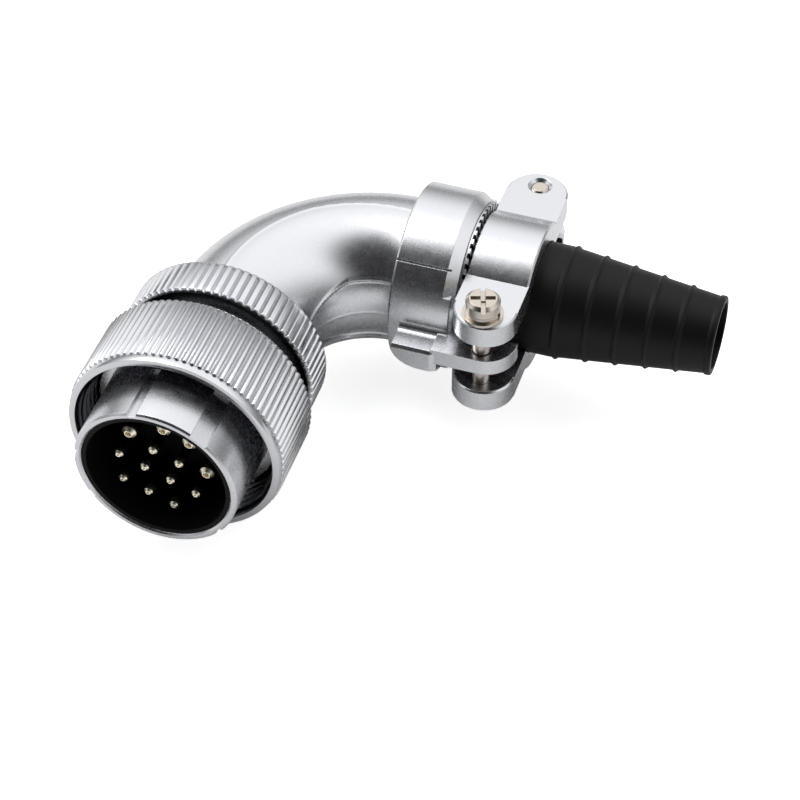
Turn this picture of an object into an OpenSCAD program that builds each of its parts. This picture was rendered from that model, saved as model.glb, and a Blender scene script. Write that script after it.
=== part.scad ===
// Right-angle circular multi-pole cable plug, male, with coupling nut,
// union ring, cast elbow, two-saddle cable clamp and rubber boot.
// Frame: origin at the centre of the barrel's front rim. The plug mates
// towards -Y, the cable leaves along +X, and +Z is square to both.

/* [Contact insert] */
// Outside diameter of the moulded insert
insert_d = 25.1; // [24.6:0.1:25.6]
// Depth of the insert's face behind the barrel's rim
insert_face = 12.0; // [11:0.1:12.4]
// Thickness of the wall that lines the barrel
insert_wall = 0.7; // [0.5:0.1:0.9]
// How far the lining stops short of the rim
insert_setback = 0.4; // [0.3:0.1:2]
// Thickness of the front insert's base
insert_base_t = 5.0; // [4:0.1:6]
// Thickness of the rear insert
rear_insert_t = 4.0; // [3:0.1:5]
// Thickness of the threaded ring behind the inserts
insert_ring_t = 2.0; // [1.5:0.1:2.4]
// Width of that ring, outside to bore
insert_ring_w = 1.6; // [1.2:0.1:2]

/* [Contacts] */
// Distance between neighbouring contacts as a share of the insert's diameter
contact_spacing = 0.1833; // [0.175:0.0001:0.19]
// Turn of the contact pattern about the mating axis, degrees
pattern_turn = -21.8; // [-45:0.1:45]
// Setback of the contact tips behind the rim
tip_setback = 2.8; // [1:0.1:5]
// Diameter of the power contacts
large_contact_d = 2.4; // [2:0.1:2.6]
// Diameter of the signal contacts
small_contact_d = 1.5; // [1.2:0.1:1.8]
// Height of the locating collar above the contact's shank
contact_collar_h = 0.35; // [0.2:0.05:0.4]
// Length of the locating collar
contact_collar_t = 1.2; // [0.8:0.1:1.6]
// Length of the solder cup behind the rear insert
solder_cup_l = 5.0; // [3:0.1:6]
// Bore of a solder cup as a share of its contact's diameter
solder_cup_bore = 0.7; // [0.5:0.05:0.75]

/* [Plug shell] */
// Wall of the barrel that enters the socket
barrel_wall = 1.2; // [1.1:0.05:1.6]
// Depth of the keyways in the barrel
keyway_depth = 0.55; // [0.4:0.05:0.7]
// Length of the keyways from the rim
keyway_l = 10.5; // [8:0.1:11]
// Height of the nut's journal above the barrel
journal_step = 0.5; // [0.3:0.05:0.7]
// Height of the thrust shoulder above the journal
shoulder_h = 1.1; // [0.8:0.05:1.3]
// Thickness of the thrust shoulder
shoulder_t = 2.0; // [1.5:0.1:2.5]
// Step from the barrel's bore out to the seat that the inserts are pushed into
seat_step = 0.6; // [0.3:0.05:0.7]
// Length of the barrel's bore, from the rim to that seat
seat_depth = 14.0; // [13:0.1:15]

/* [Coupling nut] */
// Radial space between the barrel and the nut's thread, for the socket's wall
socket_space = 2.9; // [2.6:0.1:3.2]
// Wall from the thread to the knurl's crests
nut_wall = 1.8; // [1.6:0.05:2.2]
// Setback of the nut's face behind the rim
nut_setback = 7.7; // [6.5:0.1:9]
// Length of the nut
nut_l = 14.6; // [13.6:0.1:16]
// Length of the smooth band ahead of the knurl
nut_band_l = 1.5; // [1:0.1:2.5]
// Height of the knurl's crests above the smooth band
nut_band_drop = 0.25; // [0.15:0.05:0.6]
// Teeth round the nut
nut_teeth = 88; // [72:1:96]
// Depth of the nut's knurl
nut_tooth_h = 0.46; // [0.3:0.02:0.5]
// Thickness of the inner flange that runs on the shell
nut_flange_t = 4.6; // [4:0.1:5]
// Radial clearance of the nut on its journal
nut_run_gap = 0.06; // [0.03:0.01:0.09]
// Axial play of the nut
nut_play = 0.12; // [0.08:0.01:0.2]
// Axial space that the disc spring takes
spring_space = 1.5; // [1.2:0.1:1.8]
// Thickness of the disc spring
spring_t = 0.4; // [0.3:0.05:0.5]

/* [Slip ring and snap ring] */
// Height of the bright slip ring above the journal
slip_h = 2.9; // [2.2:0.1:3.2]
// Thickness of the slip ring
slip_t = 0.8; // [0.6:0.05:1]
// Thickness of the snap ring
snap_t = 0.9; // [0.7:0.05:1.1]
// Depth of the snap ring's groove
snap_groove = 0.6; // [0.4:0.05:0.7]
// Height of the snap ring above the journal
snap_h = 1.1; // [0.8:0.05:1.3]
// Width of the opening in the snap ring
snap_opening = 3.0; // [2:0.1:5]

/* [Union ring] */
// Space between the coupling nut and the union ring
ring_gap = 4.0; // [3.6:0.1:5]
// Height of the union ring's lands above the journal
union_wall = 2.8; // [2.5:0.1:3.2]
// Length of the union ring
union_l = 7.3; // [6.8:0.1:8.4]
// Grooves round the union ring
union_teeth = 75; // [60:1:84]
// Depth of the union ring's grooves
union_tooth_h = 0.5; // [0.3:0.02:0.6]
// Thickness of the lip that pulls the elbow in
union_lip_t = 1.4; // [1.1:0.1:1.8]
// Thickness of the slip washer under that lip
union_washer_t = 0.5; // [0.4:0.05:0.7]

/* [Elbow] */
// Radius of the bend along its middle
bend_r = 23.1; // [22:0.1:25]
// Straight length between the union ring and the bend
elbow_leg = 3.0; // [2.6:0.1:5]
// How far the elbow's cheeks lie inside the journal's radius
elbow_inset = 1.4; // [1.2:0.1:1.8]
// Drop from the cheeks to the bands along the bend
band_drop = 0.6; // [0.3:0.05:0.9]
// Width of the band along the inside of the bend
band_w = 11.6; // [8:0.1:14]
// Distance of the cheeks' outer edges from the middle of the bend
cheek_out = 2.3; // [1:0.1:4]
// Wall of the elbow under the cheeks
elbow_wall = 2.9; // [2.4:0.1:3.6]
// Wall of the spigot that goes into the collar
spigot_wall = 1.8; // [1.4:0.1:2.2]
// Thickness of the flange that the union ring pulls in
elbow_flange_t = 1.0; // [0.8:0.1:1.4]
// Thickness of the gasket between the shell and the elbow
gasket_t = 0.8; // [0.5:0.05:1]

/* [Clamp collar] */
// Height of the collar above the elbow's cheeks
collar_step = 2.5; // [2:0.1:3]
// Length of the collar's cylindrical part
collar_l = 9.0; // [8.6:0.1:10]
// Length of the rear chamfer
collar_chamfer = 1.9; // [1.4:0.1:2.2]
// Drop of the rear chamfer
collar_chamfer_h = 1.2; // [0.8:0.1:1.6]
// How far the square shoulders beside the lugs stop short of the collar's back
shoulder_short = 0.5; // [0.3:0.1:1]
// Half the height of those square shoulders
shoulder_half_h = 7.5; // [5:0.1:10]
// Space between the bend and the collar
collar_gap = 0.7; // [0.3:0.1:1]
// Width of the four axial grooves
collar_groove_w = 0.4; // [0.3:0.05:0.8]
// Half of the angle that the top and bottom panels take
panel_half_angle = 43; // [35:1:48]
// Length that the elbow's spigot goes into the collar
spigot_l = 6.0; // [4:0.1:7]

/* [Cable clamp] */
// Distance of each screw's axis outside the collar
screw_step = 1.7; // [1.5:0.1:2.4]
// Wall outside the screw hole, to the lug's edge
lug_edge = 2.7; // [2.2:0.1:3.2]
// Thickness of the collar's tongues
tongue_t = 3.0; // [2.4:0.1:4]
// Extra depth of the lugs beside the collar
lug_root = 1.7; // [1:0.1:2.2]
// Drop from the tongues' top to the lugs' top
lug_drop = 0.5; // [0.2:0.1:0.8]
// How far the lugs stand out past the tongues
lug_out = 0.3; // [0.1:0.1:0.6]
// Fillet between the collar and the lugs
lug_fillet = 1.5; // [1:0.1:3]
// Chamfer along the lugs' top outer edge
lug_lip = 0.5; // [0.3:0.1:0.8]
// Setback of the lugs' front behind the collar's front
lug_setback = 2.2; // [1.5:0.1:3]
// Length of the sweep up at the lugs' front
lug_sweep = 5.0; // [3:0.1:6]
// Width of a saddle along the cable
saddle_w = 10.7; // [10.4:0.1:12.4]
// Space between the collar and the saddles
saddle_gap = 0.8; // [0.7:0.1:1.4]
// Thickness of the saddles' arch
saddle_wall = 3.1; // [2.6:0.1:3.6]
// Height of the ears' outer faces from the cable's axis
ear_top = 9.5; // [9:0.1:10]
// Thickness of the ears
ear_t = 4.4; // [3.8:0.1:5]
// How far the ears stand out past the tongues
ear_overhang = 0.7; // [0.3:0.1:1.2]
// Radius of the tongues' round ends
tongue_end_r = 5.3; // [4.8:0.1:5.8]

/* [Screws] */
// Thread diameter of the clamp screws
screw_d = 3.0; // [2.5:0.1:3.2]
// Diameter of the screw heads
screw_head_d = 5.8; // [5.4:0.1:6]
// Height of the screw heads
screw_head_h = 2.2; // [1.8:0.1:2.6]
// Width of the driver slots
slot_w = 0.8; // [0.6:0.05:1]
// Depth of the driver slots
slot_depth = 1.1; // [0.8:0.05:1.3]
// Turn of the slots as the screws are left, degrees
slot_turn = -72; // [-90:1:90]
// Radius of the countersink at a tapped hole
tap_sink_r = 2.1; // [1.8:0.1:2.4]
// Thickness of the spring washers
spring_washer_t = 0.8; // [0.6:0.05:1]
// Thickness of the plain washers
plain_washer_t = 0.5; // [0.4:0.05:0.7]
// Diameter of the plain washers
plain_washer_d = 6.8; // [6.4:0.1:7]
// Radial clearance of a screw in its tapped hole
thread_gap = 0.05; // [0.02:0.01:0.09]
// Radial clearance of a screw in a plain hole
hole_gap = 0.2; // [0.15:0.05:0.3]

/* [Boot] */
// Outside diameter of the boot under the saddles
boot_d = 19.2; // [18.6:0.1:19.4]
// Bore of the boot at the clamp
boot_bore = 14.0; // [12:0.1:15]
// Length of the boot behind the saddles
boot_l = 31.0; // [28:0.1:34]
// Diameter over the boot's end
boot_end_d = 13.0; // [12.6:0.1:14]
// Bore of the boot's cylindrical outlet
boot_outlet_d = 11.4; // [10.8:0.1:11.8]
// Length of the cylindrical outlet
boot_outlet_l = 4.0; // [3:0.1:6]
// Number of raised ridges
boot_ridges = 5; // [3:1:5]
// Distance between ridges
boot_ridge_pitch = 5.1; // [4.6:0.1:5.3]
// Height of the ridges
boot_ridge_h = 0.32; // [0.2:0.02:0.4]
// Distance of the first ridge behind the saddles
boot_first_ridge = 4.7; // [3:0.1:5]
// Thickness of the boot's flange inside the collar
boot_flange_t = 2.0; // [1.6:0.1:2.6]
// Space between the boot and the saddles
boot_gap = 0.15; // [0.1:0.05:0.3]

/* [Serrated washer] */
// Teeth on the rear face of the washer
serrations = 48; // [36:1:60]
// Depth of the teeth
serration_h = 0.4; // [0.2:0.05:0.5]
// Distance from the collar's chamfered edge in to the washer
serrated_inset = 1.5; // [1.3:0.1:2]

/* [Hidden] */
// Clearance between parts that are seated by hand
fit_gap = 0.05;
// Overlap that keeps cuts clean
cut = 0.5;
// Smallest edge chamfer
edge = 0.3;
$fn = 96;

LARGE_NODES = ["large_pin_1", "large_pin_2", "large_pin_3", "large_pin_4"];
SMALL_NODES = ["small_pin_1", "small_pin_2", "small_pin_3", "small_pin_4", "small_pin_5",
               "small_pin_6", "small_pin_7", "small_pin_8", "small_pin_9"];

// Radii on the mating axis, from the insert outwards
insert_r = insert_d / 2;
shell_bore_r = insert_r + fit_gap;
barrel_r = shell_bore_r + barrel_wall;
journal_r = barrel_r + journal_step;
shoulder_r = journal_r + shoulder_h;
thread_r = barrel_r + socket_space;
nut_r = thread_r + nut_wall;
band_r = nut_r - nut_band_drop;
slip_r = journal_r + slip_h;
union_r = journal_r + union_wall;
elbow_r = journal_r - elbow_inset;
elbow_bore_r = elbow_r - elbow_wall;
elbow_flange_r = journal_r - edge;
seat_r = shell_bore_r + seat_step;
flange_insert_r = seat_r - fit_gap;
contact_pitch = insert_d * contact_spacing;

// Stations behind the barrel's rim
insert_back = insert_face + insert_base_t;
rear_insert_back = insert_back + fit_gap + rear_insert_t;
insert_ring_back = rear_insert_back + fit_gap + insert_ring_t;
nut_back = nut_setback + nut_l;
nut_flange_front = nut_back - nut_flange_t;
shoulder_back = nut_flange_front - spring_space;
shoulder_front = shoulder_back - shoulder_t;
slip_front = nut_back + nut_play;
slip_back = slip_front + slip_t;
snap_front = slip_back + fit_gap;
snap_back = snap_front + snap_t;
union_front = nut_back + ring_gap;
union_back = union_front + union_l;
union_lip_front = union_back - union_lip_t;
union_washer_front = union_lip_front - fit_gap - union_washer_t;
elbow_front = union_washer_front - fit_gap - elbow_flange_t;
gasket_front = elbow_front - fit_gap - gasket_t;
shell_back = gasket_front - fit_gap;
cable_y = union_back + elbow_leg + bend_r;

// Stations along the cable, from the mating axis
collar_front = bend_r + collar_gap;
collar_edge = collar_front + collar_l;
collar_back = collar_edge + collar_chamfer;
spigot_back = collar_front + spigot_l;
boot_front = spigot_back + fit_gap;
saddle_front = collar_back + saddle_gap;
saddle_back = saddle_front + saddle_w;
saddle_mid = (saddle_front + saddle_back) / 2;
boot_back = saddle_back + boot_l;

// Radii on the cable axis
collar_r = elbow_r + collar_step;
collar_back_r = collar_r - collar_chamfer_h;
boot_r = boot_d / 2;
boot_end_r = boot_end_d / 2;
spigot_r = elbow_bore_r + spigot_wall;
collar_bore_r = spigot_r + fit_gap;
collar_neck_r = boot_r + boot_gap;
saddle_bore_r = boot_r + boot_gap;
saddle_r = saddle_bore_r + saddle_wall;
serrated_r = collar_r - serrated_inset;
serrated_back = saddle_front - 2 * fit_gap;

// Clamp: lugs, ears and screws
screw_offset = collar_r + screw_step;
lug_r = screw_offset + lug_edge;
lug_end = lug_r + lug_out;
tongue_top = tongue_t / 2;
lug_top = tongue_top - lug_drop;
lug_bottom = -(tongue_top + lug_root);
ear_bottom = ear_top - ear_t;
ear_reach = lug_r + ear_overhang;
screw_r = screw_d / 2;
plain_hole_r = screw_r + hole_gap;
tapped_r = screw_r + thread_gap;
head_seat = ear_top + plain_washer_t + spring_washer_t + 3 * fit_gap;
screw_tip = -(ear_top - edge);

// Contact pattern, four rows seen from the front: [along the row, up] in pitches
large_at = [[-1.5, 0.72], [-0.5, 1.71], [0.5, 1.71], [1.5, 0.72]];
small_at = [[-0.5, 0.47], [0.5, 0.47],
            [-1.5, -0.55], [-0.5, -0.55], [0.5, -0.55], [1.5, -0.55],
            [-1, -1.66], [0, -1.66], [1, -1.66]];
// Keyways round the barrel: [angle seen from the front, width in mm]
keyways = [[53.5, 3.1], [102.4, 1.7], [174, 1.7], [213, 1.7], [318.6, 1.7]];

// Turns a solid made along +Z so that it runs back from the rim along +Y
module on_mating_axis() {
    rotate([-90, 0, 0]) children();
}

// Turns a solid made along +Z so that it runs out along the cable, +X;
// its +Y stays +Y and its -X becomes +Z
module on_cable_axis() {
    translate([0, cable_y, 0]) rotate([0, 90, 0]) children();
}

// Ring or tube from one station to another
module tube(outer, inner, from, to) {
    rotate_extrude() polygon([[inner, from], [outer, from], [outer, to], [inner, to]]);
}

// Toothed outline: straight grooves of the given share between flat lands
module knurl_outline(r, teeth, depth, groove_share) {
    step = 360 / teeth;
    g = step * groove_share / 2;
    polygon([for (i = [0:teeth - 1]) for (p = [[-g, 0], [0, depth], [g, 0]])
        let (a = i * step + p[0], rr = r - p[1]) [rr * cos(a), rr * sin(a)]]);
}

// Place of one contact in the pattern, seen from the front: [x, z]
function contact_place(p) =
    let (x = p[0] * contact_pitch, z = p[1] * contact_pitch)
    [x * cos(pattern_turn) - z * sin(pattern_turn), x * sin(pattern_turn) + z * cos(pattern_turn)];

module at_contact(p) {
    c = contact_place(p);
    translate([c[0], 0, c[1]]) on_mating_axis() children();
}

// One turned contact: pin, locating collar and open solder cup
module contact(d, dimple) {
    r = d / 2;
    cr = r + contact_collar_h;
    collar_from = insert_back - contact_collar_t;
    back = rear_insert_back + solder_cup_l;
    nose = r * 0.45;
    difference() {
        rotate_extrude(convexity = 4) polygon([
            [0, tip_setback], [r - nose, tip_setback], [r, tip_setback + nose],
            [r, collar_from], [cr, collar_from], [cr, insert_back],
            [r, insert_back], [r, back], [0, back]]);
        translate([0, 0, tip_setback - cut]) cylinder(r = dimple, h = cut + dimple, $fn = 24);
        translate([0, 0, back - solder_cup_l * 0.7])
            cylinder(r = r * solder_cup_bore, h = solder_cup_l, $fn = 32);
        translate([-r - cut, 0, back - solder_cup_l * 0.4])
            cube([d + 2 * cut, r + cut, solder_cup_l]);
    }
}

module large_pin(i) {
    color("goldenrod") at_contact(large_at[i]) contact(large_contact_d, large_contact_d * 0.22);
}

module small_pin(i) {
    color("goldenrod") at_contact(small_at[i]) contact(small_contact_d, small_contact_d * 0.12);
}

// Cast and turned shell: barrel with keyways, shoulder, journal, snap groove, rear thread
module plug_shell() {
    color("silver") difference() {
        on_mating_axis() rotate_extrude(convexity = 6) polygon([
            [shell_bore_r, edge], [shell_bore_r + edge, 0], [barrel_r - edge, 0], [barrel_r, edge],
            [barrel_r, shoulder_front], [shoulder_r, shoulder_front], [shoulder_r, shoulder_back],
            [journal_r, shoulder_back], [journal_r, snap_front],
            [journal_r - snap_groove, snap_front], [journal_r - snap_groove, snap_back],
            [journal_r, snap_back], [journal_r, shell_back - edge],
            [journal_r - edge, shell_back], [seat_r, shell_back],
            [seat_r, seat_depth], [shell_bore_r, seat_depth]]);
        for (k = keyways)
            rotate([0, -k[0], 0])
                translate([barrel_r - keyway_depth, -cut, -k[1] / 2])
                    cube([keyway_depth + cut, keyway_l + cut, k[1]]);
    }
}

// Moulded front insert: base drilled for the contacts, with the lining that guards the pins
module front_insert() {
    color("#141414") difference() {
        on_mating_axis() difference() {
            union() {
                translate([0, 0, insert_setback])
                    cylinder(r = insert_r, h = insert_back - insert_setback);
                translate([0, 0, seat_depth + fit_gap])
                    cylinder(r = flange_insert_r, h = insert_back - seat_depth - fit_gap);
            }
            translate([0, 0, insert_setback - cut])
                cylinder(r = insert_r - insert_wall, h = insert_face - insert_setback + cut);
        }
        contact_holes(insert_back - contact_collar_t, insert_face - cut, insert_back + cut);
    }
}

// Rear insert that traps the contacts' collars
module rear_insert() {
    color("#1e1e1e") difference() {
        on_mating_axis() translate([0, 0, insert_back + fit_gap])
            cylinder(r = flange_insert_r, h = rear_insert_t);
        contact_holes(rear_insert_back + 2 * cut, insert_back - cut, rear_insert_back + cut);
    }
}

// Stepped holes for every contact, wide from the collar back
module contact_holes(collar_from, from, to) {
    for (p = large_at) at_contact(p) contact_hole(large_contact_d, collar_from, from, to);
    for (p = small_at) at_contact(p) contact_hole(small_contact_d, collar_from, from, to);
}

module contact_hole(d, collar_from, from, to) {
    translate([0, 0, from]) cylinder(r = d / 2 + fit_gap, h = to - from, $fn = 32);
    if (collar_from < to)
        translate([0, 0, collar_from - fit_gap])
            cylinder(r = d / 2 + contact_collar_h + fit_gap, h = to - collar_from + fit_gap, $fn = 32);
}

// Threaded ring that holds the inserts in the shell, with two key slots
module insert_ring() {
    color("silver") difference() {
        on_mating_axis() tube(flange_insert_r, flange_insert_r - insert_ring_w,
                              rear_insert_back + fit_gap, insert_ring_back);
        translate([-insert_d, insert_ring_back - insert_ring_t / 2, -slot_w])
            cube([2 * insert_d, insert_ring_t, 2 * slot_w]);
    }
}

// Knurled coupling nut, threaded inside, with the flange that runs on the shell
module coupling_nut() {
    color("silver") on_mating_axis() difference() {
        union() {
            translate([0, 0, nut_setback + nut_band_l]) linear_extrude(nut_l - nut_band_l - edge)
                knurl_outline(nut_r, nut_teeth, nut_tooth_h, 0.62);
            rotate_extrude() polygon([
                [0, nut_setback], [band_r - edge, nut_setback], [band_r, nut_setback + edge],
                [band_r, nut_back - edge], [band_r - edge, nut_back], [0, nut_back]]);
        }
        translate([0, 0, nut_setback - cut])
            cylinder(r = journal_r + nut_run_gap, h = nut_l + 2 * cut);
        rotate_extrude() polygon([
            [0, nut_setback - cut], [thread_r + edge, nut_setback - cut],
            [thread_r + edge, nut_setback], [thread_r, nut_setback + edge],
            [thread_r, nut_flange_front], [0, nut_flange_front]]);
    }
}

// Coned disc spring between the shoulder and the nut's flange
module disc_spring() {
    inner = journal_r + nut_run_gap;
    outer = shoulder_r - edge / 2;
    color("gray") on_mating_axis() rotate_extrude() polygon([
        [inner, nut_flange_front - nut_play - spring_t], [inner, nut_flange_front - nut_play],
        [outer, shoulder_back + fit_gap + spring_t], [outer, shoulder_back + fit_gap]]);
}

// Bright slip ring behind the nut
module slip_ring() {
    color("gainsboro") on_mating_axis() rotate_extrude() polygon([
        [journal_r + fit_gap, slip_front], [slip_r - slip_t / 3, slip_front],
        [slip_r, slip_front + slip_t / 3], [slip_r, slip_back - slip_t / 3],
        [slip_r - slip_t / 3, slip_back], [journal_r + fit_gap, slip_back]]);
}

// Open snap ring in the shell's groove, which keeps the nut on
module snap_ring() {
    color("dimgray") difference() {
        on_mating_axis() tube(journal_r + snap_h, journal_r - snap_groove + fit_gap,
                              snap_front + fit_gap, snap_back - fit_gap);
        translate([-snap_opening / 2, snap_front - cut, -journal_r - snap_h - cut])
            cube([snap_opening, snap_t + 2 * cut, journal_r]);
    }
}

// Knurled union ring that pulls the elbow onto the shell
module union_ring() {
    color("silver") on_mating_axis() difference() {
        intersection() {
            translate([0, 0, union_front]) linear_extrude(union_l)
                knurl_outline(union_r, union_teeth, union_tooth_h, 0.42);
            rotate_extrude() polygon([
                [0, union_front], [union_r - 2 * edge, union_front],
                [union_r + cut, union_front + 2 * edge + cut],
                [union_r + cut, union_back - 2 * edge - cut],
                [union_r - 2 * edge, union_back], [0, union_back]]);
        }
        translate([0, 0, union_front - cut])
            cylinder(r = journal_r + nut_run_gap, h = union_lip_front - union_front + cut);
        translate([0, 0, union_front - cut])
            cylinder(r = elbow_r + hole_gap, h = union_l + 2 * cut);
    }
}

// Slip washer between the union ring's lip and the elbow's flange
module union_washer() {
    color("gainsboro") on_mating_axis()
        tube(journal_r - edge, elbow_r + hole_gap, union_washer_front, union_lip_front - fit_gap);
}

// Flat rubber gasket between the shell's end and the elbow's flange
module elbow_gasket() {
    color("#202020") on_mating_axis() tube(elbow_flange_r, seat_r, gasket_front, elbow_front - fit_gap);
}

// Tube that follows the elbow: straight, bend, straight
module elbow_tube(r, leg_from, out_to) {
    on_mating_axis() translate([0, 0, leg_from])
        cylinder(r = r, h = cable_y - bend_r - leg_from);
    translate([bend_r, cable_y - bend_r, 0]) rotate([0, 0, 90])
        rotate_extrude(angle = 90) translate([bend_r, 0]) circle(r = r);
    translate([bend_r, cable_y, 0]) rotate([0, 90, 0]) cylinder(r = r, h = out_to - bend_r);
}

// Plan of the raised cheeks, from the inside of the bend to their outer edges
module cheek_plan() {
    bend_start = cable_y - bend_r;
    translate([bend_r, bend_start]) circle(r = bend_r + cheek_out);
    translate([-cheek_out, elbow_front]) square([2 * bend_r, bend_start - elbow_front]);
    translate([bend_r, bend_start - bend_r]) square([collar_front - bend_r, 2 * bend_r + cheek_out]);
}

// Cast elbow: a raised cheek above and below, lower bands inside and out, flange and spigot
module elbow() {
    color("silver") difference() {
        union() {
            elbow_tube(elbow_r - band_drop, elbow_front, collar_front);
            intersection() {
                elbow_tube(elbow_r, union_back + edge, collar_front - edge);
                for (side = [0, 1]) mirror([0, 0, side])
                    translate([0, 0, band_w / 2]) linear_extrude(elbow_r) cheek_plan();
            }
            on_mating_axis() translate([0, 0, elbow_front])
                cylinder(r = elbow_flange_r, h = elbow_flange_t);
            on_cable_axis() translate([0, 0, collar_front - cut])
                cylinder(r = spigot_r, h = spigot_l + cut);
        }
        elbow_tube(elbow_bore_r, elbow_front, collar_front);
        on_mating_axis() translate([0, 0, elbow_front - cut])
            cylinder(r = elbow_bore_r, h = 2 * cut);
        on_cable_axis() translate([0, 0, collar_front - cut])
            cylinder(r = elbow_bore_r, h = spigot_l + 2 * cut);
    }
}

// Fillet that runs from the collar's ring out to the face of a lug at height h
function ring_fillet(h, steps) =
    let (cz = h + lug_fillet, cx = sqrt(pow(collar_r + lug_fillet, 2) - pow(cz, 2)),
         a0 = 180 + atan2(cz, cx))
    [for (i = [0:steps]) let (a = a0 + (270 - a0) * i / steps)
        [cx + lug_fillet * cos(a), cz + lug_fillet * sin(a)]];

// Outline of one lug beside the collar, in the plane across the cable
module lug_outline() {
    lower = ring_fillet(-lug_bottom, 6);
    polygon(concat([[0, 0], [0, collar_r / 2]], ring_fillet(lug_top, 6),
        [[lug_end - lug_lip, lug_top], [lug_end, lug_top - lug_lip], [lug_end, lug_bottom]],
        [for (i = [len(lower) - 1:-1:0]) [lower[i][0], -lower[i][1]]],
        [[0, -collar_r / 2]]));
}

// One lug: its outline run along the cable, cut back in plan and swept up at the front
module lug() {
    front = collar_front + lug_setback;
    back = collar_back - shoulder_short;
    sweep_h = lug_top - lug_lip - lug_bottom;
    intersection() {
        translate([collar_front + edge, 0, 0]) rotate([90, 0, 90])
            linear_extrude(back - collar_front - edge) lug_outline();
        translate([0, 0, -collar_r]) linear_extrude(2 * collar_r) polygon([
            [collar_front + edge, 0], [collar_front + edge, collar_r - edge], [front, lug_end],
            [back - lug_fillet, lug_end], [back - lug_fillet * 0.3, lug_end - lug_fillet * 0.3],
            [back, lug_end - lug_fillet], [back, 0]]);
        rotate([90, 0, 0]) translate([0, 0, -2 * lug_end]) linear_extrude(4 * lug_end)
            polygon(concat([[front, collar_r]],
                [for (i = [0:6]) [front + lug_sweep * (1 - cos(15 * i)),
                                  lug_top - lug_lip - sweep_h * sin(15 * i)]],
                [[back, lug_bottom], [back, collar_r]]));
    }
}

// Flat tongue with a round end, which the saddles' screws pass through
module tongue(side) {
    len = saddle_back - collar_edge;
    difference() {
        union() {
            translate([collar_edge, side > 0 ? collar_neck_r : -lug_r, -tongue_top])
                cube([len - tongue_end_r, lug_r - collar_neck_r, tongue_t]);
            translate([saddle_back - tongue_end_r, side * (lug_r - tongue_end_r), -tongue_top])
                cylinder(r = tongue_end_r, h = tongue_t);
            translate([collar_edge, side > 0 ? collar_neck_r : -lug_r + tongue_end_r, -tongue_top])
                cube([len, lug_r - tongue_end_r - collar_neck_r, tongue_t]);
        }
        translate([saddle_mid, side * screw_offset, -tongue_top - cut])
            cylinder(r = plain_hole_r, h = tongue_t + 2 * cut, $fn = 48);
    }
}

// Cast clamp collar: grooved ring, hollow-sided lugs and the two tongues
module clamp_collar() {
    color("silver") translate([0, cable_y, 0]) difference() {
        union() {
            rotate([0, 90, 0]) rotate_extrude() polygon([
                [0, collar_front], [collar_r - edge, collar_front], [collar_r, collar_front + edge],
                [collar_r, collar_edge], [collar_back_r, collar_back], [0, collar_back]]);
            intersection() {
                translate([collar_edge - cut, 0, 0]) rotate([0, 90, 0])
                    cylinder(r = collar_r, h = collar_back - shoulder_short - collar_edge + cut);
                translate([collar_front, -collar_r, -shoulder_half_h])
                    cube([2 * collar_l, 2 * collar_r, 2 * shoulder_half_h]);
            }
            for (side = [-1, 1]) {
                mirror([0, side > 0 ? 0 : 1, 0]) lug();
                tongue(side);
            }
        }
        rotate([0, 90, 0]) rotate_extrude() polygon([
            [0, collar_front - cut], [collar_bore_r, collar_front - cut],
            [collar_bore_r, collar_front + spigot_l + boot_flange_t + 2 * fit_gap],
            [collar_neck_r, collar_front + spigot_l + boot_flange_t + 2 * fit_gap],
            [collar_neck_r, collar_back], [serrated_r + fit_gap, collar_back],
            [serrated_r + fit_gap, saddle_back], [0, saddle_back]]);
        for (a = [panel_half_angle, 180 - panel_half_angle,
                  180 + panel_half_angle, -panel_half_angle])
            rotate([a, 0, 0])
                translate([collar_front - cut, -collar_groove_w / 2, collar_r - collar_groove_w])
                    cube([collar_back - collar_front, collar_groove_w, collar_groove_w + cut]);
    }
}

// Serrated washer that locks the clamp against the collar
module serrated_washer() {
    step = 360 / serrations;
    color("gray") on_cable_axis() difference() {
        tube(serrated_r, collar_neck_r, collar_back + fit_gap, serrated_back);
        for (i = [0:serrations - 1]) rotate([0, 0, i * step])
            translate([collar_neck_r - cut, -serrated_r * sin(step / 4), serrated_back - serration_h])
                cube([serrated_r, 2 * serrated_r * sin(step / 4), serration_h + cut]);
    }
}

// Ribbed rubber boot: flange, cylinder under the saddles, ridged taper, open outlet
module boot() {
    taper_from = saddle_back + boot_first_ridge - 1;
    slope = (boot_r - boot_end_r) / (boot_back - taper_from);
    color("#1c1c1c") on_cable_axis() difference() {
        union() {
            rotate_extrude(convexity = 4) polygon([
                [0, boot_front], [spigot_r, boot_front], [spigot_r, boot_front + boot_flange_t],
                [boot_r, boot_front + boot_flange_t], [boot_r, taper_from],
                [boot_end_r, boot_back - 1.2], [boot_end_r + boot_ridge_h, boot_back - 0.9],
                [boot_end_r + boot_ridge_h, boot_back - edge], [boot_end_r, boot_back],
                [0, boot_back]]);
            for (i = [0:boot_ridges - 1]) {
                s = saddle_back + boot_first_ridge + i * boot_ridge_pitch;
                r = boot_r - slope * (s - taper_from);
                rotate_extrude() polygon([
                    [r - 1, s - 0.7], [r + slope * 0.7, s - 0.7], [r + boot_ridge_h, s - 0.25],
                    [r + boot_ridge_h, s + 0.25], [r - slope * 0.7, s + 0.7], [r - 1, s + 0.7]]);
            }
        }
        rotate_extrude() polygon([
            [0, boot_front - cut], [boot_bore / 2, boot_front - cut], [boot_bore / 2, taper_from],
            [boot_outlet_d / 2, boot_back - boot_outlet_l], [boot_outlet_d / 2, boot_back + cut],
            [0, boot_back + cut]]);
    }
}

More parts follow.
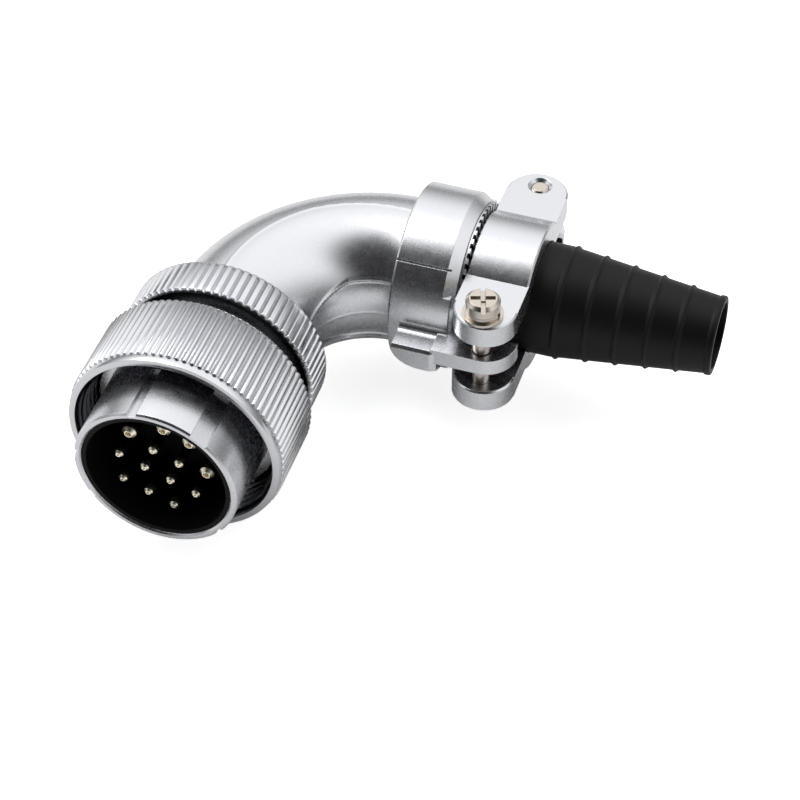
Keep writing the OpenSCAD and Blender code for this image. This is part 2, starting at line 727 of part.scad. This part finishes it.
// Saddle half, as the upper one lies: arch, two round-ended ears, one plain and one tapped hole
module saddle() {
    arc_from = saddle_front;
    difference() {
        union() {
            intersection() {
                translate([arc_from, 0, 0]) rotate([0, 90, 0]) rotate_extrude() polygon([
                    [0, 0], [saddle_r - edge, 0], [saddle_r, edge],
                    [saddle_r, saddle_w - edge], [saddle_r - edge, saddle_w], [0, saddle_w]]);
                translate([arc_from, -saddle_r, ear_bottom]) cube([saddle_w, 2 * saddle_r, saddle_r]);
            }
            for (side = [-1, 1]) {
                translate([arc_from, side > 0 ? 0 : -ear_reach + saddle_w / 2, ear_bottom])
                    cube([saddle_w, ear_reach - saddle_w / 2, ear_t]);
                translate([saddle_mid, side * (ear_reach - saddle_w / 2), ear_bottom])
                    rotate_extrude() polygon([[0, 0], [saddle_w / 2 - edge, 0],
                        [saddle_w / 2, edge], [saddle_w / 2, ear_t - edge],
                        [saddle_w / 2 - edge, ear_t], [0, ear_t]]);
            }
        }
        translate([arc_from - cut, 0, 0]) rotate([0, 90, 0])
            cylinder(r = saddle_bore_r, h = saddle_w + 2 * cut);
        translate([saddle_mid, -screw_offset, ear_bottom - cut])
            cylinder(r = plain_hole_r, h = ear_t + 2 * cut, $fn = 48);
        translate([saddle_mid, screw_offset, ear_bottom - cut])
            cylinder(r = tapped_r, h = ear_t + 2 * cut, $fn = 48);
        translate([saddle_mid, screw_offset, ear_top + tapped_r - tap_sink_r])
            cylinder(r1 = tapped_r, r2 = tap_sink_r + cut, h = tap_sink_r - tapped_r + cut, $fn = 48);
    }
}

module upper_saddle() {
    color("silver") translate([0, cable_y, 0]) saddle();
}

module lower_saddle() {
    color("silver") translate([0, cable_y, 0]) rotate([180, 0, 0]) saddle();
}

// Stack on a screw, made for the near side with its head up; the far one is turned over
module at_screw(far) {
    translate([0, cable_y, 0]) rotate([far ? 180 : 0, 0, 0])
        translate([saddle_mid, -screw_offset, 0]) children();
}

// Cheese-head screw with a through slot and a short cross slot
module clamp_screw(far) {
    head_r = screw_head_d / 2;
    color("silver") at_screw(far) rotate([0, 0, slot_turn]) difference() {
        rotate_extrude(convexity = 4) polygon([
            [0, screw_tip], [screw_r - edge, screw_tip], [screw_r, screw_tip + edge],
            [screw_r, head_seat], [head_r, head_seat], [head_r, head_seat + screw_head_h - 2 * edge],
            [head_r - 2 * edge, head_seat + screw_head_h], [0, head_seat + screw_head_h]]);
        translate([-head_r - cut, -slot_w / 2, head_seat + screw_head_h - slot_depth])
            cube([screw_head_d + 2 * cut, slot_w, slot_depth + cut]);
        translate([-slot_w / 2, -head_r * 0.7, head_seat + screw_head_h - slot_depth * 1.2])
            cube([slot_w, screw_head_d * 0.7, slot_depth * 1.2 + cut]);
    }
}

// Split spring washer under the head
module spring_washer(far) {
    color("lightgray") at_screw(far) difference() {
        tube(screw_head_d / 2, screw_r + hole_gap, ear_top + plain_washer_t + 2 * fit_gap,
             head_seat - fit_gap);
        translate([0, -0.35, ear_top]) rotate([20, 0, 0])
            cube([screw_head_d, 0.7, 3 * spring_washer_t]);
    }
}

// Plain washer on the ear
module plain_washer(far) {
    color("lightgray") at_screw(far)
        tube(plain_washer_d / 2, screw_r + hole_gap, ear_top + fit_gap,
             ear_top + fit_gap + plain_washer_t);
}

plug_shell();
front_insert();
rear_insert();
insert_ring();
for (i = [0:len(LARGE_NODES) - 1]) large_pin(i);
for (i = [0:len(SMALL_NODES) - 1]) small_pin(i);
coupling_nut();
disc_spring();
slip_ring();
snap_ring();
union_ring();
union_washer();
elbow_gasket();
elbow();
clamp_collar();
serrated_washer();
boot();
upper_saddle();
lower_saddle();
clamp_screw(false);  // near_screw
clamp_screw(true);  // far_screw
spring_washer(false);  // near_spring_washer
spring_washer(true);  // far_spring_washer
plain_washer(false);  // near_plain_washer
plain_washer(true);  // far_plain_washer
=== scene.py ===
import math
import bmesh
import bpy
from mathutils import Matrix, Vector


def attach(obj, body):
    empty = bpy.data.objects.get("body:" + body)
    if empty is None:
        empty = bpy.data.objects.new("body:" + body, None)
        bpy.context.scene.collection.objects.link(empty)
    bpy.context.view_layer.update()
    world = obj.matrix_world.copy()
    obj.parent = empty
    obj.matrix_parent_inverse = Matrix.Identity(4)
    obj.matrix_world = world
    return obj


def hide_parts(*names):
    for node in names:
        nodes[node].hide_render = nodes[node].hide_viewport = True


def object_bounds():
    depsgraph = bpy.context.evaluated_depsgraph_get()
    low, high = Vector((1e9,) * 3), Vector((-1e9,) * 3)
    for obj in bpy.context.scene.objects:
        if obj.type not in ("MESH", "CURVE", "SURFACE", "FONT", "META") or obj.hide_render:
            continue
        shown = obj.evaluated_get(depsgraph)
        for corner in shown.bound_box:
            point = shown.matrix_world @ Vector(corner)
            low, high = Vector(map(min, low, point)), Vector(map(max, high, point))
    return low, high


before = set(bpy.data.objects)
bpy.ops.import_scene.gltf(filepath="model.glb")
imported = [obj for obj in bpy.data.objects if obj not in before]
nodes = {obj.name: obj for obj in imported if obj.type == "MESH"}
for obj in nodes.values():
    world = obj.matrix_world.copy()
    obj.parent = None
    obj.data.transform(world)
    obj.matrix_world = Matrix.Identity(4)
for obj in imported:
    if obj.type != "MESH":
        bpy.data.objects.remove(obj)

cad_box = [list(corner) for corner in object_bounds()]
MM = 0.001

# ---- Table, tent and camera -----------------------------------------------------------
# A pale seamless table inside a light tent. The tent is white overhead, greyer low down,
# and has a dark round opening for the camera, which gives plated metal its dark patches.


def linear(hex_colour):
    """An sRGB hex colour as the linear RGBA that Blender's sockets take."""
    def channel(text):
        c = int(text, 16) / 255
        return c / 12.92 if c <= 0.04045 else ((c + 0.055) / 1.055) ** 2.4
    return (channel(hex_colour[0:2]), channel(hex_colour[2:4]), channel(hex_colour[4:6]), 1.0)


def add(tree, kind, inputs=None, **settings):
    """One shader node: its settings, and a number, colour or output for each named input."""
    node = tree.nodes.new(kind)
    for name, value in settings.items():
        setattr(node, name, value)
    for name, value in (inputs or {}).items():
        if isinstance(value, bpy.types.NodeSocket):
            tree.links.new(value, node.inputs[name])
        else:
            node.inputs[name].default_value = value
    return node


opening_towards = (0.02, -0.69, 0.72)
world = bpy.data.worlds.new("light tent")
bpy.context.scene.world = world
world.use_nodes = True
tent = world.node_tree
tent.nodes.clear()
direction = add(tent, "ShaderNodeTexCoord").outputs["Generated"]
height = add(tent, "ShaderNodeSeparateXYZ", {"Vector": direction}).outputs["Z"]
facing = add(tent, "ShaderNodeVectorMath", {0: direction, 1: opening_towards},
             operation="DOT_PRODUCT").outputs["Value"]
cloth = add(tent, "ShaderNodeMapRange", {"Value": height, "From Min": 0.0, "From Max": 0.75,
            "To Min": 0.24, "To Max": 1.42}, interpolation_type="SMOOTHSTEP").outputs["Result"]
closed = add(tent, "ShaderNodeMapRange", {"Value": facing, "From Min": 0.58, "From Max": 0.89,
             "To Min": 1.0, "To Max": 0.02}, interpolation_type="SMOOTHSTEP").outputs["Result"]
glow = add(tent, "ShaderNodeMath", {0: cloth, 1: closed}, operation="MULTIPLY").outputs[0]
tent_light = add(tent, "ShaderNodeBackground", {"Color": linear("FDFEFF"), "Strength": glow})
backdrop = add(tent, "ShaderNodeBackground", {"Color": (1, 1, 1, 1), "Strength": 1.0})
seen = add(tent, "ShaderNodeLightPath").outputs["Is Camera Ray"]
both = add(tent, "ShaderNodeMixShader", {0: seen, 1: tent_light.outputs[0], 2: backdrop.outputs[0]})
add(tent, "ShaderNodeOutputWorld", {"Surface": both.outputs[0]})

table_top = cad_box[0][2]
bpy.ops.mesh.primitive_plane_add(size=8, location=(0, 0, table_top - 0.02 * MM))
table = bpy.context.object
table.name = "table"
paper = bpy.data.materials.new("white matt paper")
paper.use_nodes = True
tree = paper.node_tree
tree.nodes.clear()
sheet = add(tree, "ShaderNodeBsdfDiffuse", {"Color": linear("F4F4F4")}).outputs[0]
seen = add(tree, "ShaderNodeLightPath").outputs["Is Camera Ray"]
glowing = add(tree, "ShaderNodeMath", {0: seen, 1: 0.75}, operation="MULTIPLY").outputs[0]
lift = add(tree, "ShaderNodeEmission", {"Color": (1, 1, 1, 1), "Strength": glowing}).outputs[0]
surface = add(tree, "ShaderNodeAddShader", {0: sheet, 1: lift}).outputs[0]
add(tree, "ShaderNodeOutputMaterial", {"Surface": surface})
table.data.materials.append(paper)


def soft_box(name, size, watts, place):
    """A square studio lamp aimed at the middle of the plug."""
    data = bpy.data.lights.new(name, "AREA")
    data.size = size
    data.energy = watts
    lamp = bpy.data.objects.new(name, data)
    lamp.location = place
    aim = Vector((0.03, 0.03, 0.0)) - lamp.location
    lamp.rotation_euler = aim.to_track_quat("-Z", "Y").to_euler()
    bpy.context.scene.collection.objects.link(lamp)


soft_box("key light", 0.4, 1.6, (-0.30, 0.10, 0.55))

turn, rise = math.radians(18.2), math.radians(45.07)
camera_distance = 390 * MM
camera_aim = Vector((31.26, 28.71, 0.0)) * MM
towards_camera = Vector((math.sin(turn) * math.cos(rise), -math.cos(turn) * math.cos(rise),
                         math.sin(rise)))
camera_data = bpy.data.cameras.new("camera")
camera_data.lens = 108
camera_data.sensor_width = 36
camera_data.clip_start = 0.01
camera = bpy.data.objects.new("camera", camera_data)
camera.location = camera_aim + towards_camera * camera_distance
camera.rotation_euler = (-towards_camera).to_track_quat("-Z", "Y").to_euler()
bpy.context.scene.collection.objects.link(camera)
bpy.context.scene.camera = camera
bpy.context.scene.view_settings.view_transform = "Standard"

# ---- Shell with its barrel ------------------------------------------------------------
# Zinc die casting, turned and then plated in satin nickel-chrome. The inserts and the
# coupling nut sit on it, and five keyways are sunk in the barrel.


def plated(name, colour, roughness, ripple_mm, ripple_depth_mm, edge_mm):
    """Satin plate: a metal with a faint ripple, softly rounded edges and uneven gloss."""
    made = bpy.data.materials.new(name)
    made.use_nodes = True
    tree = made.node_tree
    tree.nodes.clear()
    place = add(tree, "ShaderNodeTexCoord").outputs["Object"]
    ripple = add(tree, "ShaderNodeTexNoise",
                 {"Vector": place, "Scale": 1 / (ripple_mm * MM), "Detail": 2.0}).outputs[0]
    haze = add(tree, "ShaderNodeTexNoise",
               {"Vector": place, "Scale": 1 / (1.2 * MM), "Detail": 2.0}).outputs[0]
    gloss = add(tree, "ShaderNodeMapRange", {"Value": haze, "From Min": 0.3, "From Max": 0.7,
                "To Min": roughness * 0.93, "To Max": roughness * 1.07}).outputs["Result"]
    edges = add(tree, "ShaderNodeBevel", {"Radius": edge_mm * MM}, samples=6).outputs[0]
    bump = add(tree, "ShaderNodeBump", {"Height": ripple, "Distance": ripple_depth_mm * MM,
               "Normal": edges}).outputs[0]
    metal = add(tree, "ShaderNodeBsdfPrincipled", {"Base Color": linear(colour), "Metallic": 1.0,
                "Roughness": gloss, "Normal": bump}).outputs[0]
    add(tree, "ShaderNodeOutputMaterial", {"Surface": metal})
    return made


def dress(names, material):
    """Gives the CAD pieces of the given names one material, in their own slots."""
    for name in names:
        for slot in nodes[name].material_slots:
            slot.material = material


# Satin nickel-chrome: a cool pale grey with soft, nearly mirror-like bands.
satin_plate = plated("satin nickel-chrome plate on zinc", "CFD0D3", 0.27, 0.13, 0.0042, 0.15)
dress(["plug_shell", "insert_ring"], satin_plate)

# ---- Inserts --------------------------------------------------------------------------
# Two black thermoplastic mouldings pushed into the shell. The front one lines the barrel
# and carries the pins; the rear one traps the pins' collars.


def moulded(name, colour, roughness, grain_mm, grain_depth_mm, shine=0.5):
    """Moulded plastic or rubber: one colour with a fine grain."""
    made = bpy.data.materials.new(name)
    made.use_nodes = True
    tree = made.node_tree
    tree.nodes.clear()
    place = add(tree, "ShaderNodeTexCoord").outputs["Object"]
    grain = add(tree, "ShaderNodeTexNoise",
                {"Vector": place, "Scale": 1 / (grain_mm * MM), "Detail": 4.0}).outputs[0]
    bump = add(tree, "ShaderNodeBump", {"Height": grain, "Distance": grain_depth_mm * MM}).outputs[0]
    body = add(tree, "ShaderNodeBsdfPrincipled", {"Base Color": linear(colour),
               "Roughness": roughness, "Specular IOR Level": shine, "Normal": bump}).outputs[0]
    add(tree, "ShaderNodeOutputMaterial", {"Surface": body})
    return made


# Black thermoplastic, dull enough that the barrel's inside stays black.
insert_plastic = moulded("black thermoplastic, dull", "040404", 0.6, 0.3, 0.004, 0.15)
dress(["front_insert", "rear_insert"], insert_plastic)

# ---- Contacts -------------------------------------------------------------------------
# Four power pins and nine signal pins, turned from brass and gold plated, held in the
# inserts by their collars.
tip_front, shank_front = 3.5, 4.4


def two_tone(material, position, start_mm, end_mm, before, after):
    """Changes a plate's colour along a position: one up to start_mm, another from end_mm."""
    tree = material.node_tree
    share = add(tree, "ShaderNodeMapRange", {"Value": position, "From Min": start_mm * MM,
                "From Max": end_mm * MM}).outputs["Result"]
    tone = add(tree, "ShaderNodeValToRGB", {"Fac": share})
    tone.color_ramp.elements[0].color = linear(before)
    tone.color_ramp.elements[1].color = linear(after)
    metal = next(node for node in tree.nodes if node.type == "BSDF_PRINCIPLED")
    tree.links.new(tone.outputs[0], metal.inputs["Base Color"])


def gilt(name, tip_gold, shank_shade):
    """Gold plate: pale at the tips, with painted shade making the shanks behind them a dull dark brown."""
    made = plated(name, tip_gold, 0.32, 0.2, 0.001, 0.06)
    place = add(made.node_tree, "ShaderNodeTexCoord").outputs["Object"]
    depth = add(made.node_tree, "ShaderNodeSeparateXYZ", {"Vector": place}).outputs["Y"]
    # The dark brown behind the tips is painted shade.
    two_tone(made, depth, tip_front, shank_front, tip_gold, shank_shade)
    return made


# Gold plate: each tip is a small pale spot and the shanks are painted nearly dark as shade.
gold_plate = gilt("gold plate on turned brass", "FFF6E0", "3A2C16")
dress(["large_pin_%d" % i for i in range(1, 5)] + ["small_pin_%d" % i for i in range(1, 10)],
      gold_plate)

# ---- Coupling nut ---------------------------------------------------------------------
# Turned nut with a straight knurl cut between a smooth front band and the back, and a
# thread inside its mouth. It turns freely on the shell.


def turned(name, stations, columns, place, material):
    """A closed turned piece: stations of (radius, distance), or functions of the angle."""
    points = []
    for station in stations:
        for i in range(columns):
            angle = 2 * math.pi * i / columns
            r, s = station(angle) if callable(station) else station
            points.append(place(r, s, angle))
    n = len(stations)
    quads = [(a * columns + i, a * columns + (i + 1) % columns,
              (a + 1) % n * columns + (i + 1) % columns, (a + 1) % n * columns + i)
             for a in range(n) for i in range(columns)]
    mesh = bpy.data.meshes.new(name)
    mesh.from_pydata(points, [], quads)
    work = bmesh.new()
    work.from_mesh(mesh)
    bmesh.ops.recalc_face_normals(work, faces=work.faces)
    work.to_mesh(mesh)
    work.free()
    mesh.shade_smooth()
    mesh.set_sharp_from_angle(angle=math.radians(40))
    mesh.materials.append(material)
    piece = bpy.data.objects.new(name, mesh)
    bpy.context.scene.collection.objects.link(piece)
    return piece


def on_mating_axis(r, s, angle):
    return (r * math.cos(angle) * MM, s * MM, r * math.sin(angle) * MM)


def knurl(teeth, share):
    """How deep each angle is in a V groove, from 0 on a land to 1 at a groove's bottom."""
    def depth(angle):
        across = abs((angle * teeth / (2 * math.pi)) % 1.0 - 0.5) * 2
        return max(0.0, 1 - across / share)
    return depth


nut_front, nut_back, nut_r, band_r = 7.7, 22.3, 18.5, 18.1
mouth_r, thread_r, thread_back, journal_r = 16.95, 16.7, 17.7, 14.36
pitch, crest_h, thread_steps = 1.5, 0.62, 8
nut_teeth, nut_columns = 88, 88 * 6
nut_groove = knurl(nut_teeth, 0.74)


def nut_row(r, s, depth):
    return lambda angle: (r - depth * nut_groove(angle), s)


def thread_row(s):
    """The nut's thread: crests towards the axis, fading out at both ends."""
    def row(angle):
        phase = (s / pitch + angle / (2 * math.pi)) % 1.0
        fade = min(1.0, (s - 8.1) / 1.2, (17.4 - s) / 0.8)
        crest = min(1.0, max(0.0, 1.5 - abs(phase - 0.5) * 4))
        return (thread_r - crest_h * max(0.0, fade) * crest, s)
    return row


nut_stations = [(mouth_r, nut_front), (band_r - 0.45, nut_front), (band_r - 0.12, nut_front + 0.12),
                (band_r, nut_front + 0.45), (band_r, nut_front + 1.35),
                (band_r - 0.03, nut_front + 1.48)]
nut_stations += [nut_row(nut_r - 0.05, nut_front + 1.5, 0.85), nut_row(nut_r, nut_front + 1.65, 0.72),
                 nut_row(nut_r, nut_back - 0.55, 0.62), nut_row(nut_r - 0.35, nut_back - 0.12, 0.4)]
nut_stations += [(nut_r - 0.75, nut_back), (journal_r + 0.06, nut_back),
                 (journal_r, nut_back - 0.1), (journal_r, thread_back + 0.05),
                 (journal_r + 0.14, thread_back), (thread_r, thread_back)]
nut_stations += [thread_row(thread_back - 0.2 - i * pitch / thread_steps) for i in range(50)]


def knurled(name, colour, shade_colour, shade_ends_mm, plain_from_mm):
    """Plate on a knurled ring, painted dark as shade inside a radius given in mm."""
    made = plated(name, colour, 0.20, 0.25, 0.002, 0.10)
    tree = made.node_tree
    place = add(tree, "ShaderNodeTexCoord").outputs["Object"]
    flat = add(tree, "ShaderNodeVectorMath", {0: place, 1: (1, 0, 1)},
               operation="MULTIPLY").outputs["Vector"]
    radius = add(tree, "ShaderNodeVectorMath", {0: flat}, operation="LENGTH").outputs["Value"]
    # Inside the given radius the plate takes a darker colour: painted shade.
    two_tone(made, radius, shade_ends_mm, plain_from_mm, shade_colour, colour)
    return made


# Knurled satin plate: the lands catch long narrow lights between darker grooves, and the nut's mouth is
# painted nearly black inside the thread as shade.
nut_plate = knurled("satin plate on knurled steel, painted shade in thread", "CCCDD0", "4A4B4F", 16.6, mouth_r)
coupling_nut = turned("coupling_nut_knurled", nut_stations, nut_columns, on_mating_axis, nut_plate)
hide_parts("coupling_nut")
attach(coupling_nut, "coupling_nut")

# ---- Rings behind the nut -------------------------------------------------------------
# A bright slip ring, an open snap ring and a disc spring keep the nut on the shell, and
# the union ring bears on a washer. The slip ring's rim shows in the gap behind the nut.
# Bright plate: a clean mirror that draws one thin white line.
bright_plate = plated("bright nickel plate", "ECEDEF", 0.10, 0.5, 0.0005, 0.12)
dress(["slip_ring"], bright_plate)
# Spring steel painted dark as shade, so that what lies deep in the gap reads as a shadow.
gap_shade_steel = plated("oiled spring steel", "4A4A4C", 0.35, 0.3, 0.001, 0.08)
dress(["disc_spring", "snap_ring", "union_washer"], gap_shade_steel)

# ---- Union ring -----------------------------------------------------------------------
# Turned ring with flat lands and narrow grooves. It screws onto the shell and pulls the
# elbow's flange in.
union_front, union_back, union_r = 26.3, 33.6, 17.1
union_bore, union_seat, union_columns = 13.1, 32.2, 75 * 8
union_groove = knurl(75, 0.42)


def union_row(r, s, depth):
    return lambda angle: (r - depth * union_groove(angle), s)


union_stations = [(journal_r, union_front), (16.2, union_front), (16.3, union_front + 0.01)]
union_stations += [union_row(16.85, union_front + 0.04, 0.5), union_row(17.03, union_front + 0.16, 0.62),
                   union_row(union_r, union_front + 0.4, 0.62), union_row(union_r, union_back - 0.8, 0.58),
                   union_row(17.0, union_back - 0.5, 0.5), union_row(16.75, union_back - 0.2, 0.3)]
union_stations += [(16.42, union_back - 0.03), (16.3, union_back),
                   (union_bore + 0.05, union_back), (union_bore, union_back - 0.1),
                   (union_bore, union_seat), (journal_r, union_seat)]
# The same plate, with its front face painted dark as the shade in the gap behind the nut.
union_plate = knurled("satin plate on knurled steel, painted shade on face", "CCCDD0", "47484B", 16.1, 16.35)
union_ring = turned("union_ring_knurled", union_stations, union_columns, on_mating_axis, union_plate)
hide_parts("union_ring")
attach(union_ring, "union_ring")

# ---- Elbow ----------------------------------------------------------------------------
# Zinc die casting. A raised cheek lies above and below, with lower bands along the inside
# and the outside of the bend, and a fine parting line at mid height.
bend, leg_end, cable_y = 23.1, 36.6, 59.7
elbow_front, collar_front, spigot_back = 30.6, 23.8, 29.8
arc = bend * math.pi / 2
low_r, cheek_step, cheek_r = 12.3, 0.5, 12.9
elbow_bore, spigot_r, flange_r, flange_t = 10.0, 11.8, 14.0, 1.0


def elbow_place(r, s, angle):
    """A point at a radius and angle round the elbow's middle line, s along that line."""
    along = elbow_front + s - leg_end
    if along <= 0:
        centre, outwards = (0.0, elbow_front + s), (-1.0, 0.0)
    elif along < arc:
        a = along / bend
        centre = (bend - bend * math.cos(a), leg_end + bend * math.sin(a))
        outwards = (-math.cos(a), math.sin(a))
    else:
        centre, outwards = (bend + along - arc, cable_y), (0.0, 1.0)
    out, up = r * math.cos(angle), r * math.sin(angle)
    return ((centre[0] + out * outwards[0]) * MM, (centre[1] + out * outwards[1]) * MM, up * MM)


def cast_row(s):
    """The casting's outside: low bands, and cheeks a step higher with a beaded edge."""
    along = elbow_front + s - leg_end
    degrees = max(0.0, min(90.0, math.degrees(along / bend)))
    inner_edge = 2.3 + 0.065 * min(degrees, 56.0)
    outer_edge = 2.3 - 1.3 * max(0.0, degrees - 50) / 40

    def row(angle):
        out, up = cheek_r * math.cos(angle), abs(cheek_r * math.sin(angle))
        reach = outer_edge - out
        if out < 0:
            side = up - inner_edge
            reach = min(reach, side) if side < 3 else reach
        bead = math.exp(-((reach - 0.55) / 0.3) ** 2) * (0.2 if out < 0 else 0.09)
        reach = max(0.0, min(1.0, reach / 0.5))
        raised = reach * reach * (3 - 2 * reach)
        parting = 0.09 * math.exp(-(up / 0.18) ** 2) * (1 if out < 0 else 0.6)
        return (low_r + cheek_step * raised + bead + parting, s)
    return row


elbow_length = leg_end - elbow_front + arc + collar_front - bend
spigot_length = elbow_length + spigot_back - collar_front
elbow_stations = [(elbow_bore, 0.0), (flange_r, 0.0), (flange_r, flange_t), (low_r, flange_t)]
elbow_stations += [cast_row(1.2 + (elbow_length - 1.25) * i / 180) for i in range(181)]
elbow_stations += [(spigot_r, elbow_length), (spigot_r, spigot_length - 0.3),
                   (spigot_r - 0.3, spigot_length), (elbow_bore, spigot_length)]
elbow_stations += [(elbow_bore, spigot_length - (spigot_length - 0.5) * i / 30) for i in range(1, 30)]
elbow = turned("elbow_casting", elbow_stations, 400, elbow_place, satin_plate)
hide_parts("elbow")
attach(elbow, "housing")

# ---- Clamp collar ---------------------------------------------------------------------
# Zinc die casting: a grooved ring with a lug on each side, whose tongues carry the clamp
# screws. It is plated like the elbow and slid onto the elbow's spigot.
dress(["clamp_collar"], satin_plate)
# The toothed washer behind the collar is turned steel, plated.
toothed_plate = plated("zinc plate on toothed steel", "C9CACC", 0.30, 0.3, 0.002, 0.05)
dress(["serrated_washer"], toothed_plate)

# ---- Saddles --------------------------------------------------------------------------
# Two equal die castings, plated, drawn together over the boot by two screws.
dress(["upper_saddle", "lower_saddle"], satin_plate)

# ---- Screws and washers ---------------------------------------------------------------
# Cheese-head machine screws with a spring washer and a plain washer, nickel plated.
# Nickel plate: a faintly warm metal beside the cooler castings.
nickel_plate = plated("nickel plate on steel", "C4BBB1", 0.26, 0.3, 0.0015, 0.10)
dress(["near_screw", "far_screw", "near_spring_washer", "far_spring_washer",
       "near_plain_washer", "far_plain_washer"], nickel_plate)

# ---- Boot and gasket ------------------------------------------------------------------
# Moulded black rubber. The boot tapers over the cable in five ridged steps; the flat
# gasket lies hidden between the shell and the elbow.


def on_cable_axis(r, s, angle):
    return (s * MM, (cable_y + r * math.cos(angle)) * MM, r * math.sin(angle) * MM)


boot_front, saddle_back, boot_back = 29.85, 46.2, 77.2
taper_from = saddle_back + 3.7
boot_r, boot_end_r, outlet_r, outlet_l, bore_r = 9.6, 6.5, 5.7, 4.0, 7.0
ridges, first_ridge, ridge_pitch, ridge_h = 5, 4.7, 5.1, 0.34
slope = (boot_r - boot_end_r) / (boot_back - taper_from)


def boot_outside(s):
    """The taper with its rounded ridges and the lip round the open end."""
    r = boot_r - slope * max(0.0, s - taper_from)
    for i in range(ridges):
        off = (s - saddle_back - first_ridge - ridge_pitch * i) / ridge_h
        r += ridge_h * math.exp(-off * off)
    lip = min(1.0, max(0.0, (s - boot_back + 1.3) / 0.4))
    return (r + (6.82 - r) * lip * lip * (3 - 2 * lip) if lip > 0 else r, s)


boot_stations = [(bore_r, boot_front), (11.6, boot_front), (11.8, boot_front + 0.2),
                 (11.8, boot_front + 1.8), (11.6, boot_front + 2.0), (boot_r, boot_front + 2.0)]
boot_stations += [boot_outside(36.0 + (boot_back - 0.35 - 36.0) * i / 320) for i in range(321)]
boot_stations += [(6.76, boot_back - 0.15), (6.6, boot_back - 0.03), (6.4, boot_back),
                  (outlet_r + 0.15, boot_back), (outlet_r + 0.02, boot_back - 0.1),
                  (outlet_r, boot_back - 0.3), (outlet_r, boot_back - outlet_l / 2)]
outlet_from = boot_back - outlet_l
boot_stations += [(outlet_r + (bore_r - outlet_r) * i / 8,
                   outlet_from - (outlet_from - taper_from) * i / 8) for i in range(9)]
# Boot rubber: near black with a low sheen.
boot_rubber = moulded("black moulded rubber, low sheen", "060607", 0.5, 0.5, 0.006, 0.22)
boot = turned("boot_moulded", boot_stations, 160, on_cable_axis, boot_rubber)
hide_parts("boot")
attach(boot, "housing")
# Gasket rubber: flat black, and out of sight between the shell and the elbow.
gasket_rubber = moulded("black gasket rubber", "101011", 0.6, 0.5, 0.004)
dress(["elbow_gasket"], gasket_rubber)
